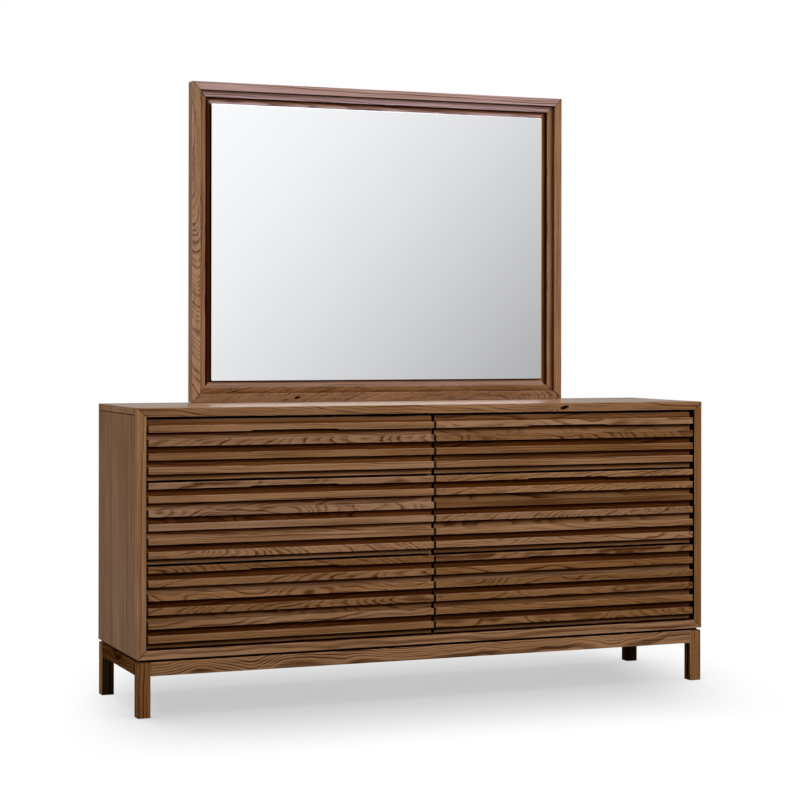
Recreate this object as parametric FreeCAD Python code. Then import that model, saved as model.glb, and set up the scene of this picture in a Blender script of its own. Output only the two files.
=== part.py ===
import FreeCAD, Part
import os

# A wide chest of six slatted drawers on a low leg frame, with a framed mirror
# standing on its back edge. Millimetres. X runs to the right, Y to the back, Z up.
# The origin is on the floor, under the middle of the whole piece.

# Case: outline, face frame and panels. Its height follows from the rows of drawers.
CASE_WIDTH = 1800.0
CASE_DEPTH = 450.0
FRAME_WIDTH = 25.0
FRAME_DEPTH = 36.0
TOP_THICKNESS = 20.0
BOTTOM_THICKNESS = 20.0
BACK_THICKNESS = 9.0
DIVIDER_THICKNESS = 20.0

# Base: leg frame with a spacer that leaves a shadow gap under the case
LEG_SIZE = 37.0
LEG_HEIGHT = 155.5
APRON_HEIGHT = 39.0
APRON_THICKNESS = 22.0
BASE_INSET = 1.5
SPACER_HEIGHT = 7.0
SPACER_WIDTH = 22.0
SPACER_SIDE_INSET = 8.0
SPACER_FRONT_INSET = 16.0
SPACER_BACK_INSET = 6.0

# Drawer fronts: a flat panel with square slats across it
PANEL_THICKNESS = 18.0
SLAT_DEPTH = 20.0
SLAT_HEIGHT = 19.0
SLAT_GAP = 20.0
FLUSH_TRIM = 1.5
LOWEST_STRIP = 17.0
TOP_ROW_LOWEST_STRIP = 18.5
TOP_ROW_HIGHEST_STRIP = 18.0
FULL_ROW_SLATS = 6
TOP_ROW_SLATS = 4
SIDE_GAP = 6.0
CENTRE_GAP = 8.0
ROW_GAP = 5.5
BOTTOM_GAP = 3.5
TOP_GAP = 6.5

# Finger pull: a shallow notch under the middle of each drawer's highest slat
PULL_LENGTH = 270.0
PULL_HEIGHT = 5.0
PULL_END_RUN = 8.0

# Drawer boxes
BOX_BOARD = 15.0
BOX_RISE = 14.0
BOX_HEADROOM = 30.0
BOX_BACK_CLEARANCE = 23.0
BOX_BOTTOM_THICKNESS = 6.0
GROOVE_RISE = 10.0
GROOVE_DEPTH = 5.0
GROOVE_PLAY = 0.3
DIVIDER_CLEARANCE = 1.0

# Drawer slides: a steel channel on the case and a runner inside it on the box
SLIDE_SPACE = 13.0
CHANNEL_HEIGHT = 35.0
CHANNEL_DEPTH = 10.0
RUNNER_DEPTH = 10.0
SLIDE_STEEL = 1.5
SLIDE_PLAY = 0.4
SLIDE_SETBACK = 6.0

# Mirror: a stepped, mitred frame around a raised glass panel, set a little to the left of the middle
MIRROR_WIDTH = 1240.0
MIRROR_HEIGHT = 970.0
MIRROR_THICKNESS = 45.0
MIRROR_LIFT = 1.0
MIRROR_OFFSET = -3.5
OUTER_BAND = 25.0
MIDDLE_BAND = 19.5
CHANNEL_BAND = 20.0
PANEL_SEAT = 16.0
OUTER_STEP = 16.0
GLASS_THICKNESS = 4.0
BACKING_THICKNESS = 11.0

# Uprights that carry the mirror on the back of the case, and their screws
SUPPORT_THICKNESS = 18.0
SUPPORT_WIDTH = 60.0
SUPPORT_SPACING = 760.0
SUPPORT_BELOW_TOP = 340.0
SUPPORT_TOP_MARGIN = 28.0
SCREW_RADIUS = 2.0
SCREW_HEAD_RADIUS = 4.0
SCREW_HEAD_HEIGHT = 2.5
SCREW_BITE = 12.0
SCREW_PLAY = 0.2
SCREW_ROW_SPACING = 32.0

# Sizes and places that follow
SLAT_PITCH = SLAT_HEIGHT + SLAT_GAP
FULL_ROW_HEIGHT = LOWEST_STRIP + FULL_ROW_SLATS * SLAT_PITCH - SLAT_GAP - FLUSH_TRIM
TOP_ROW_SLATTED = TOP_ROW_SLATS * SLAT_PITCH - SLAT_GAP
TOP_ROW_HEIGHT = TOP_ROW_LOWEST_STRIP + TOP_ROW_SLATTED + TOP_ROW_HIGHEST_STRIP
OPENING_HEIGHT = BOTTOM_GAP + 2 * (FULL_ROW_HEIGHT + ROW_GAP) + TOP_ROW_HEIGHT + TOP_GAP
CASE_HEIGHT = OPENING_HEIGHT + 2 * FRAME_WIDTH
FRONT_WIDTH = (CASE_WIDTH - CENTRE_GAP) / 2 - FRAME_WIDTH - SIDE_GAP
FRONT = -(CASE_DEPTH + SUPPORT_THICKNESS) / 2
BACK = FRONT + CASE_DEPTH
FRAME_BACK = FRONT + FRAME_DEPTH
PANEL_FRONT = FRONT + SLAT_DEPTH
FRONT_BACK = PANEL_FRONT + PANEL_THICKNESS
INSIDE_BACK = BACK - BACK_THICKNESS
CASE_BOTTOM = LEG_HEIGHT + SPACER_HEIGHT
CASE_TOP = CASE_BOTTOM + CASE_HEIGHT
FLOOR_TOP = CASE_BOTTOM + BOTTOM_THICKNESS
CEILING = CASE_TOP - TOP_THICKNESS
OPENING_HALF = CASE_WIDTH / 2 - FRAME_WIDTH
OPENING_BOTTOM = CASE_BOTTOM + FRAME_WIDTH
MIRROR_BOTTOM = CASE_TOP + MIRROR_LIFT
MIRROR_TOP = MIRROR_BOTTOM + MIRROR_HEIGHT
MIRROR_MIDDLE = (MIRROR_BOTTOM + MIRROR_TOP) / 2
MIRROR_FRONT = BACK - MIRROR_THICKNESS


def block(x0, x1, y0, y1, z0, z1):
    """A square-edged board between two corners."""
    corner = FreeCAD.Vector(x0, y0, z0)
    return Part.makeBox(x1 - x0, y1 - y0, z1 - z0, corner)


def prism(points, direction):
    """A flat outline pushed along a direction."""
    corners = [FreeCAD.Vector(*point) for point in points]
    outline = Part.makePolygon(corners + corners[:1])
    return Part.Face(outline).extrude(FreeCAD.Vector(*direction))


def write(name, solids):
    """One file per named piece; like pieces share a file as separate solids."""
    shape = solids[0] if len(solids) == 1 else Part.makeCompound(solids)
    shape.exportStep("parts/" + name + ".step")


def mitred_member(length, section):
    """A straight moulding along X whose outer edge is at Z 0, cut at 45 degrees at both ends.

    The section lists (inward, depth) points: inward runs to -Z and depth to +Y.
    """
    reach = max(inward for inward, depth in section)
    thickness = max(depth for inward, depth in section)
    half = length / 2
    profile = [(-half, depth, -inward) for inward, depth in section]
    moulding = prism(profile, (length, 0, 0))
    trapezoid = [(-half, 0, 0), (half, 0, 0), (half - reach, 0, -reach), (reach - half, 0, -reach)]
    return moulding.common(prism(trapezoid, (0, thickness, 0)))


def mitred_frame(width, height, section, centre):
    """Four members round a rectangle, as top, right, bottom and left. The centre is in its front plane."""
    depth_axis = FreeCAD.Vector(0, 1, 0)
    members = []
    for turn, length, reach in (
        (0, width, height / 2),
        (90, height, width / 2),
        (180, width, height / 2),
        (270, height, width / 2),
    ):
        member = mitred_member(length, section)
        member.translate(FreeCAD.Vector(0, 0, reach))
        member.rotate(FreeCAD.Vector(0, 0, 0), depth_axis, turn)
        member.translate(centre)
        members.append(member)
    return members


def make_base():
    """Four square legs, four flush aprons and the spacer strips on top of them."""
    outer_x = CASE_WIDTH / 2 - BASE_INSET
    front_y = FRONT + BASE_INSET
    rear_y = BACK - BASE_INSET
    inner_x = outer_x - LEG_SIZE
    for side, x0 in (("left", -outer_x), ("right", inner_x)):
        x1 = x0 + LEG_SIZE
        write("leg_front_" + side, [block(x0, x1, front_y, front_y + LEG_SIZE, 0, LEG_HEIGHT)])
        write("leg_rear_" + side, [block(x0, x1, rear_y - LEG_SIZE, rear_y, 0, LEG_HEIGHT)])
    apron_z = LEG_HEIGHT - APRON_HEIGHT
    for side, y0 in (("front", front_y), ("rear", rear_y - APRON_THICKNESS)):
        write("apron_" + side, [block(-inner_x, inner_x, y0, y0 + APRON_THICKNESS, apron_z, LEG_HEIGHT)])
    for side, x0 in (("left", -outer_x), ("right", outer_x - APRON_THICKNESS)):
        y0 = front_y + LEG_SIZE
        y1 = rear_y - LEG_SIZE
        write("apron_" + side, [block(x0, x0 + APRON_THICKNESS, y0, y1, apron_z, LEG_HEIGHT)])
    write("base_spacer", make_spacer())


def make_spacer():
    """Four strips set in from the outline, so a dark line shows under the case."""
    edge_x = CASE_WIDTH / 2 - SPACER_SIDE_INSET
    front_y = FRONT + SPACER_FRONT_INSET
    rear_y = BACK - SPACER_BACK_INSET
    low = LEG_HEIGHT
    high = CASE_BOTTOM
    return [
        block(-edge_x, edge_x, front_y, front_y + SPACER_WIDTH, low, high),
        block(-edge_x, edge_x, rear_y - SPACER_WIDTH, rear_y, low, high),
        block(-edge_x, SPACER_WIDTH - edge_x, front_y + SPACER_WIDTH, rear_y - SPACER_WIDTH, low, high),
        block(edge_x - SPACER_WIDTH, edge_x, front_y + SPACER_WIDTH, rear_y - SPACER_WIDTH, low, high),
    ]


def make_case():
    """Mitred face frame, sides, top, floor, back and the upright between the two columns."""
    section = [(0, 0), (FRAME_WIDTH, 0), (FRAME_WIDTH, FRAME_DEPTH), (0, FRAME_DEPTH)]
    centre = FreeCAD.Vector(0, FRONT, (CASE_BOTTOM + CASE_TOP) / 2)
    members = mitred_frame(CASE_WIDTH, CASE_HEIGHT, section, centre)
    names = ("frame_rail_top", "frame_stile_right", "frame_rail_bottom", "frame_stile_left")
    for name, member in zip(names, members):
        write(name, [member])
    half = CASE_WIDTH / 2
    write("side_panel_left", [block(-half, -OPENING_HALF, FRAME_BACK, BACK, CASE_BOTTOM, CEILING)])
    write("side_panel_right", [block(OPENING_HALF, half, FRAME_BACK, BACK, CASE_BOTTOM, CEILING)])
    top = block(-half, half, FRAME_BACK, BACK, CEILING, CASE_TOP)
    write("top_panel", [top.cut(screw_holes(SCREW_RADIUS + SCREW_PLAY))])
    floor = block(-OPENING_HALF, OPENING_HALF, FRAME_BACK, INSIDE_BACK, CASE_BOTTOM, FLOOR_TOP)
    write("bottom_panel", [floor])
    write("back_panel", [block(-OPENING_HALF, OPENING_HALF, INSIDE_BACK, BACK, CASE_BOTTOM, CEILING)])
    divider_front = FRONT_BACK + DIVIDER_CLEARANCE
    half_divider = DIVIDER_THICKNESS / 2
    divider = block(-half_divider, half_divider, divider_front, INSIDE_BACK, FLOOR_TOP, CEILING)
    write("centre_divider", [divider])


def make_slats(x0, x1, bottom, top, slats, lowest_strip):
    """Square slats across a front, none above its top edge, the highest one notched as a finger pull."""
    pieces = []
    for index in range(slats):
        low = bottom + lowest_strip + index * SLAT_PITCH
        slat = block(x0, x1, FRONT, PANEL_FRONT, low, min(low + SLAT_HEIGHT, top))
        if index == slats - 1:
            slat = slat.cut(pull_notch((x0 + x1) / 2, low))
        pieces.append(slat)
    return pieces


def pull_notch(centre, low):
    """The space of a finger pull: a long low trapezoid through the slat's lower edge."""
    half = PULL_LENGTH / 2
    outline = [
        (centre - half, FRONT, low),
        (centre + half, FRONT, low),
        (centre + half - PULL_END_RUN, FRONT, low + PULL_HEIGHT),
        (centre - half + PULL_END_RUN, FRONT, low + PULL_HEIGHT),
    ]
    return prism(outline, (0, SLAT_DEPTH, 0))


def make_drawer_box(x0, x1, low, high):
    """Two sides, a front and a back board, all grooved for the bottom, and the bottom itself."""
    rear = INSIDE_BACK - BOX_BACK_CLEARANCE
    inner_x0 = x0 + BOX_BOARD
    inner_x1 = x1 - BOX_BOARD
    inner_front = FRONT_BACK + BOX_BOARD
    inner_rear = rear - BOX_BOARD
    seat = low + GROOVE_RISE
    groove = block(
        inner_x0 - GROOVE_DEPTH,
        inner_x1 + GROOVE_DEPTH,
        inner_front - GROOVE_DEPTH,
        inner_rear + GROOVE_DEPTH,
        seat,
        seat + BOX_BOTTOM_THICKNESS + GROOVE_PLAY,
    )
    boards = [
        block(x0, inner_x0, FRONT_BACK, rear, low, high),
        block(inner_x1, x1, FRONT_BACK, rear, low, high),
        block(inner_x0, inner_x1, FRONT_BACK, inner_front, low, high),
        block(inner_x0, inner_x1, inner_rear, rear, low, high),
    ]
    edge = GROOVE_DEPTH - GROOVE_PLAY
    bottom = block(
        inner_x0 - edge,
        inner_x1 + edge,
        inner_front - edge,
        inner_rear + edge,
        seat,
        seat + BOX_BOTTOM_THICKNESS,
    )
    return [board.cut(groove) for board in boards], bottom


def slide_span():
    """Front and rear ends of every slide, along Y."""
    rear = INSIDE_BACK - BOX_BACK_CLEARANCE
    return FRONT_BACK + SLIDE_SETBACK, rear - SLIDE_SETBACK


def make_channel(wall, inward, middle):
    """A steel channel on a wall of the case, open towards the drawer. inward is 1 or -1 along X."""
    half = CHANNEL_HEIGHT / 2
    tip = wall + inward * CHANNEL_DEPTH
    web = wall + inward * SLIDE_STEEL
    front, rear = slide_span()
    outline = [
        (wall, front, middle - half),
        (tip, front, middle - half),
        (tip, front, middle - half + SLIDE_STEEL),
        (web, front, middle - half + SLIDE_STEEL),
        (web, front, middle + half - SLIDE_STEEL),
        (tip, front, middle + half - SLIDE_STEEL),
        (tip, front, middle + half),
        (wall, front, middle + half),
    ]
    return prism(outline, (0, rear - front, 0))


def make_runner(side, outward, middle):
    """A steel runner on a drawer's side board, inside the channel. outward is 1 or -1 along X."""
    half = CHANNEL_HEIGHT / 2 - SLIDE_STEEL - SLIDE_PLAY
    tip = side + outward * RUNNER_DEPTH
    web = side + outward * SLIDE_STEEL
    front, rear = slide_span()
    outline = [
        (side, front, middle - half),
        (tip, front, middle - half),
        (tip, front, middle - half + SLIDE_STEEL),
        (web, front, middle - half + SLIDE_STEEL),
        (web, front, middle + half - SLIDE_STEEL),
        (tip, front, middle + half - SLIDE_STEEL),
        (tip, front, middle + half),
        (side, front, middle + half),
    ]
    return prism(outline, (0, rear - front, 0))


def drawer_rows():
    """Name, lower edge, height, slat count and lowest strip of each row, from the floor of the case up."""
    low = OPENING_BOTTOM + BOTTOM_GAP
    middle = low + FULL_ROW_HEIGHT + ROW_GAP
    high = middle + FULL_ROW_HEIGHT + ROW_GAP
    return [
        ("bottom", low, FULL_ROW_HEIGHT, FULL_ROW_SLATS, LOWEST_STRIP),
        ("middle", middle, FULL_ROW_HEIGHT, FULL_ROW_SLATS, LOWEST_STRIP),
        ("top", high, TOP_ROW_HEIGHT, TOP_ROW_SLATS, TOP_ROW_LOWEST_STRIP),
    ]


def make_column(column, front_x0, wall_x0, wall_x1):
    """Three drawers between two walls of the case, and the channels that carry them."""
    front_x1 = front_x0 + FRONT_WIDTH
    box_x0 = wall_x0 + SLIDE_SPACE
    box_x1 = wall_x1 - SLIDE_SPACE
    channels = []
    for row, low, height, slats, lowest_strip in drawer_rows():
        name = "drawer_" + column + "_" + row
        write(name + "_front", [block(front_x0, front_x1, PANEL_FRONT, FRONT_BACK, low, low + height)])
        write(name + "_slats", make_slats(front_x0, front_x1, low, low + height, slats, lowest_strip))
        box_low = low + BOX_RISE
        box_high = low + height - BOX_HEADROOM
        boards, bottom = make_drawer_box(box_x0, box_x1, box_low, box_high)
        write(name + "_box", boards)
        write(name + "_bottom", [bottom])
        middle = (box_low + box_high) / 2
        write(name + "_runners", [make_runner(box_x0, -1, middle), make_runner(box_x1, 1, middle)])
        channels += [make_channel(wall_x0, 1, middle), make_channel(wall_x1, -1, middle)]
    write("slide_channels_" + column, channels)


def make_drawers():
    """A column of drawers each side of the divider."""
    half_divider = DIVIDER_THICKNESS / 2
    make_column("left", SIDE_GAP - OPENING_HALF, -OPENING_HALF, -half_divider)
    make_column("right", CENTRE_GAP / 2, half_divider, OPENING_HALF)


def support_middle(side):
    """Middle of an upright along X. side is -1 for the left one and 1 for the right one."""
    return MIRROR_OFFSET + side * SUPPORT_SPACING / 2


def screw_places():
    """Centres of the screws in the uprights: into the top panel's edge and into two mirror rails."""
    rail_middle = OUTER_BAND / 2
    heights = (
        (CEILING + CASE_TOP) / 2,
        MIRROR_BOTTOM + rail_middle,
        MIRROR_TOP - SUPPORT_TOP_MARGIN - rail_middle,
    )
    places = []
    for side in (-1, 1):
        for across in (-1, 1):
            x = support_middle(side) + across * SCREW_ROW_SPACING / 2
            places += [(x, height) for height in heights]
    return places


def screw_holes(radius):
    """Round holes for every screw's shank, from the uprights' outer face to the screws' tips."""
    length = SUPPORT_THICKNESS + SCREW_BITE + SCREW_PLAY
    start = BACK + SUPPORT_THICKNESS
    inward = FreeCAD.Vector(0, -1, 0)
    holes = []
    for x, z in screw_places():
        holes.append(Part.makeCylinder(radius, length, FreeCAD.Vector(x, start, z), inward))
    return Part.makeCompound(holes)


def make_screw(x, z, play):
    """A countersunk screw, its head flush with the upright's outer face."""
    start = BACK + SUPPORT_THICKNESS
    inward = FreeCAD.Vector(0, -1, 0)
    head = Part.makeCone(
        SCREW_HEAD_RADIUS + play,
        SCREW_RADIUS + play,
        SCREW_HEAD_HEIGHT,
        FreeCAD.Vector(x, start, z),
        inward,
    )
    shank_length = SUPPORT_THICKNESS + SCREW_BITE - SCREW_HEAD_HEIGHT
    shank_start = FreeCAD.Vector(x, start - SCREW_HEAD_HEIGHT, z)
    shank = Part.makeCylinder(SCREW_RADIUS + play, shank_length, shank_start, inward)
    return head.fuse(shank)


def make_supports():
    """Two uprights behind the case and the mirror, drilled and countersunk."""
    low = CASE_TOP - SUPPORT_BELOW_TOP
    high = MIRROR_TOP - SUPPORT_TOP_MARGIN
    for name, side in (("left", -1), ("right", 1)):
        x0 = support_middle(side) - SUPPORT_WIDTH / 2
        upright = block(x0, x0 + SUPPORT_WIDTH, BACK, BACK + SUPPORT_THICKNESS, low, high)
        for x, z in screw_places():
            upright = upright.cut(make_screw(x, z, SCREW_PLAY))
        write("mirror_support_" + name, [upright])


def make_mirror():
    """The stepped frame, the glass on its backing board, and what carries them."""
    channel_floor = OUTER_STEP + GLASS_THICKNESS + BACKING_THICKNESS
    middle_edge = OUTER_BAND + MIDDLE_BAND
    seat_edge = middle_edge + CHANNEL_BAND + PANEL_SEAT
    section = [
        (0, 0),
        (OUTER_BAND, 0),
        (OUTER_BAND, OUTER_STEP),
        (middle_edge, OUTER_STEP),
        (middle_edge, channel_floor),
        (seat_edge, channel_floor),
        (seat_edge, MIRROR_THICKNESS),
        (0, MIRROR_THICKNESS),
    ]
    centre = FreeCAD.Vector(MIRROR_OFFSET, MIRROR_FRONT, MIRROR_MIDDLE)
    members = mitred_frame(MIRROR_WIDTH, MIRROR_HEIGHT, section, centre)
    holes = screw_holes(SCREW_RADIUS + SCREW_PLAY)
    names = ("mirror_rail_top", "mirror_stile_right", "mirror_rail_bottom", "mirror_stile_left")
    for name, member in zip(names, members):
        write(name, [member.cut(holes)])
    half_width = MIRROR_WIDTH / 2 - middle_edge - CHANNEL_BAND
    left = MIRROR_OFFSET - half_width
    right = MIRROR_OFFSET + half_width
    low = MIRROR_BOTTOM + middle_edge + CHANNEL_BAND
    high = MIRROR_TOP - middle_edge - CHANNEL_BAND
    glass_front = MIRROR_FRONT + OUTER_STEP
    glass_back = glass_front + GLASS_THICKNESS
    backing_back = glass_back + BACKING_THICKNESS
    write("mirror_glass", [block(left, right, glass_front, glass_back, low, high)])
    write("mirror_backing", [block(left, right, glass_back, backing_back, low, high)])
    make_supports()
    write("mirror_screws", [make_screw(x, z, 0) for x, z in screw_places()])


os.makedirs("parts", exist_ok=True)
make_base()
make_case()
make_drawers()
make_mirror()
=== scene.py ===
import math
import random

import bmesh
import bpy
from bpy.props import FloatProperty, FloatVectorProperty, IntProperty, PointerProperty
from bpy.types import Operator, Panel, PropertyGroup
from mathutils import Matrix, Vector


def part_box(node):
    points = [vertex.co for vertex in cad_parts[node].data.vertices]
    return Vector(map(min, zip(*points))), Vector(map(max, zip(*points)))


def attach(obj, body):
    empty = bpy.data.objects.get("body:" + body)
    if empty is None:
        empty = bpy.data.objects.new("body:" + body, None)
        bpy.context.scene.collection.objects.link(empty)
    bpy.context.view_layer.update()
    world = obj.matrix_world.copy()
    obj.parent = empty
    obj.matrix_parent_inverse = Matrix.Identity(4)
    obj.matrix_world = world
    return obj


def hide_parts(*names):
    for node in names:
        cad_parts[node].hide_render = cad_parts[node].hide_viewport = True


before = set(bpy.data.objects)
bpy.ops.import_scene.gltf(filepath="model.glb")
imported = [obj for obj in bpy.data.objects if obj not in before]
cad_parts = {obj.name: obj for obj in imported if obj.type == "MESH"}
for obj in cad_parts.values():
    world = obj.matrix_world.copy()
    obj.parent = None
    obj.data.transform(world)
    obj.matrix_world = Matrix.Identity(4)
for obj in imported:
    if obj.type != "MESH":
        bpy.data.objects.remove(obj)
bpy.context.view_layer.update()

bl_info = {
    "name": "Slatted chest of drawers with mirror",
    "version": (1, 0, 0),
    "blender": (4, 5, 0),
    "location": "3D View > Sidebar > Chest",
    "description": "Builds the boards, mirror and finishes of a slatted chest of drawers on its CAD frame",
    "category": "Object",
}

MM = 0.001
X = Vector((1, 0, 0))
Y = Vector((0, 1, 0))
Z = Vector((0, 0, 1))
COLUMNS = ("left", "right")
ROWS = ("top", "middle", "bottom")

# How a board was sawn from its log: turn of its face against the rings in degrees, distance
# from the heart in millimetres, how far it leans out along the grain, how much its rings sway,
# and how closely they lie.
CUTS = {
    "flat": ((-25, 25), (45, 140), (0.0, 0.03), 0.35, 1.0),
    "plain": ((-12, 12), (90, 150), (0.0, 0.004), 0.15, 1.0),
    "wild": ((14, 35), (25, 80), (0.06, 0.22), 0.4, 1.0),
    "wavy": ((50, 62), (40, 90), (0.0, 0.012), 0.6, 0.4),
    "striped": ((50, 75), (60, 160), (0.0, 0.01), 0.12, 0.45),
    "curl": ((-12, 12), (30, 60), (0.0, 0.05), 0.8, 1.0),
    "rift": ((35, 60), (60, 160), (0.0, 0.02), 0.25, 1.0),
    "fine": ((35, 60), (60, 160), (0.0, 0.01), 0.25, 2.0),
    "quarter": ((75, 105), (30, 120), (0.0, 0.008), 0.2, 1.0),
}

# How the stain was taken: rubbed lighter on an arris, partly a painted highlight; dark in a joint, which also
# stands for painted shade on faces in shade; and painted shade below a slat, a little less dark
RUBBED_ARRIS_AND_HIGHLIGHT = 1
DARK_JOINT_AND_SHADE = -1
PAINTED_SHADE_BELOW_SLAT = 0.8

# Metres within which two places are one, and cosines by which directions are the same, a face looks
# a way, the rounding beside it still does, and a chamfer beside it still does
NEAR = 1e-6
PARALLEL = 0.999
FACING = 0.9
ROUNDED = 0.8
CHAMFERED = 0.6

# Turn of the surface from which an edge is sharp, in radians
SHARP = 0.9

# Waves of the timber's noises, per millimetre along the grain and both ways across it
SWAY_WAVES = (0.0035, 0.005, 0.005)
RIPPLE_WAVES = (0.012, 0.02, 0.03)
PORE_WAVES = (0.11, 1.9, 1.9)
FIBRE_WAVES = (0.007, 0.55, 0.55)
STREAK_WAVES = (0.0022, 0.11, 0.11)

# How far sway, ripples and a knot push the rings aside, in millimetres
SWAY = 60
RIPPLE = 10
SWIRL = 14

# How the distance from a knot counts along the grain and across it
KNOT_SHAPE = (0.6, 1.3)

# What the stain's warmest and coolest tones do to red, green and blue
WARM = (1.03, 0.95, 0.75)
COOL = (0.97, 1.1, 1.7)


def tone(red, green, blue):
    """A colour given as it looks on a screen, 0 to 255, in the renderer's linear values."""
    channels = []
    for level in (red, green, blue):
        share = level / 255
        channels.append(share / 12.92 if share <= 0.04045 else ((share + 0.055) / 1.055) ** 2.4)
    return tuple(channels)


def length(name, description, default, least=0.0):
    """A length among the settings."""
    return FloatProperty(name=name, description=description, default=default, min=least, unit="LENGTH")


def paint(name, description, *levels):
    """A colour among the settings, given as it looks on a screen."""
    return FloatVectorProperty(name=name, description=description, subtype="COLOR", default=tone(*levels))


def power(name, description, default):
    """The power of a lamp among the settings."""
    return FloatProperty(name=name, description=description, default=default, unit="POWER")


def growth(name, description, default):
    """A width of growth rings among the settings, in millimetres."""
    return FloatProperty(name=name, description=description, default=default, min=0.5, soft_max=10)


class ChestSizes(PropertyGroup):
    """Sizes of the dressed pieces that the CAD frame leaves open."""

    arris: length("Arris", "Rounding of the long edges", 0.0010, 0.0002)
    joint: length("Joint line", "Chamfer at mitres and joints", 0.0008)
    # Painted shade: how far the shade painted under slats and in the mirror frame's corners reaches
    fade: length("Stain fade", "How far gathered stain reaches out of a corner", 0.013)
    seam: length("Panel seam", "Chamfer round the case's panels", 0.0013)
    slat_height: length("Slat height", "Height of one slat", 0.019, 0.005)
    slat_pitch: length("Slat pitch", "From one slat to the next", 0.039, 0.006)
    pull_length: length("Pull length", "Length of the finger pull", 0.270, 0.05)
    pull_rise: length("Pull rise", "Height of the finger pull's notch", 0.005, 0.001)
    pull_run: length("Pull end", "Length of the notch's sloped ends", 0.008, 0.001)
    box_board: length("Box board", "Thickness of the drawer box's boards", 0.015, 0.006)
    ring_width: growth("Ring width", "One year's growth in the ash", 3.2)
    box_ring_width: growth("Drawer ring width", "One year's growth in the drawer boxes", 2.6)


class ChestColours(PropertyGroup):
    """Colours of the finishes."""

    late_wood: paint("Late wood", "Stained ash between the pores", 140, 106, 80)
    early_wood: paint("Early wood", "Stained ash where the pores lie", 72, 40, 20)
    pore: paint("Pore", "Stain in the pores", 34, 17, 8)
    base_late: paint("Base late wood", "Stained ash of the base between the pores", 142, 105, 76)
    base_early: paint("Base early wood", "Stained ash of the base where the pores lie", 44, 13, 3)
    box_late: paint("Drawer wood", "Lacquered wood of the drawer boxes", 214, 186, 146)
    box_early: paint("Drawer wood rings", "Rings in the drawer boxes", 190, 154, 110)
    box_pore: paint("Drawer wood pore", "Pores in the drawer boxes", 150, 112, 74)
    board: paint("Back board", "Pressed fibre board", 120, 88, 62)
    fleck: paint("Back board fleck", "Fibres in the pressed board", 92, 66, 44)
    steel: paint("Steel", "Zinc plated steel", 186, 188, 190)
    silver: paint("Silvering", "The mirror's silvering", 250, 251, 253)
    edge_dark: paint("Glass edge, dark", "Ground edge of the glass in its hollows", 40, 48, 44)
    edge_light: paint("Glass edge, light", "Ground edge of the glass on its ridges", 70, 80, 74)
    shadow: paint("Shadow", "Floor close under the base", 196, 196, 196)


class ChestStage(PropertyGroup):
    """Camera, lamps and surroundings."""

    lens: FloatProperty(name="Lens", description="Focal length", default=93.404, unit="CAMERA")
    key: power("Key", "Power of the large lamp at the front right", 256)
    top: power("Top", "Power of the lamp overhead", 60)
    fill: power("Fill", "Power of the lamp at the left", 150)
    ambient: FloatProperty(name="Ambient", description="Light from all round", default=0.02, min=0, max=2)
    seed: IntProperty(name="Seed", description="Draw of the boards", default=11)


class Wire:
    """A socket in a node tree, so that shader maths can be written as an expression."""

    def __init__(self, tree, socket):
        self.tree = tree
        self.socket = socket

    def math(self, operation, *values):
        return self.tree.node("Math", {"operation": operation}, dict(enumerate(values)))

    def __add__(self, other):
        return self.math("ADD", self, other)

    __radd__ = __add__

    def __sub__(self, other):
        return self.math("SUBTRACT", self, other)

    def __rsub__(self, other):
        return self.math("SUBTRACT", other, self)

    def __mul__(self, other):
        return self.math("MULTIPLY", self, other)

    def __truediv__(self, other):
        return self.math("DIVIDE", self, other)

    def __pow__(self, other):
        return self.math("POWER", self, other)

    def maximum(self, other):
        return self.math("MAXIMUM", self, other)

    def fraction(self):
        return self.math("FRACT", self)

    def whole(self):
        return self.math("FLOOR", self)

    def step(self, low, high):
        """0 below low, 1 above high, and a smooth rise between them."""
        inputs = {"Value": self, "From Min": low, "From Max": high}
        return self.tree.node("MapRange", {"interpolation_type": "SMOOTHSTEP"}, inputs)


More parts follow.
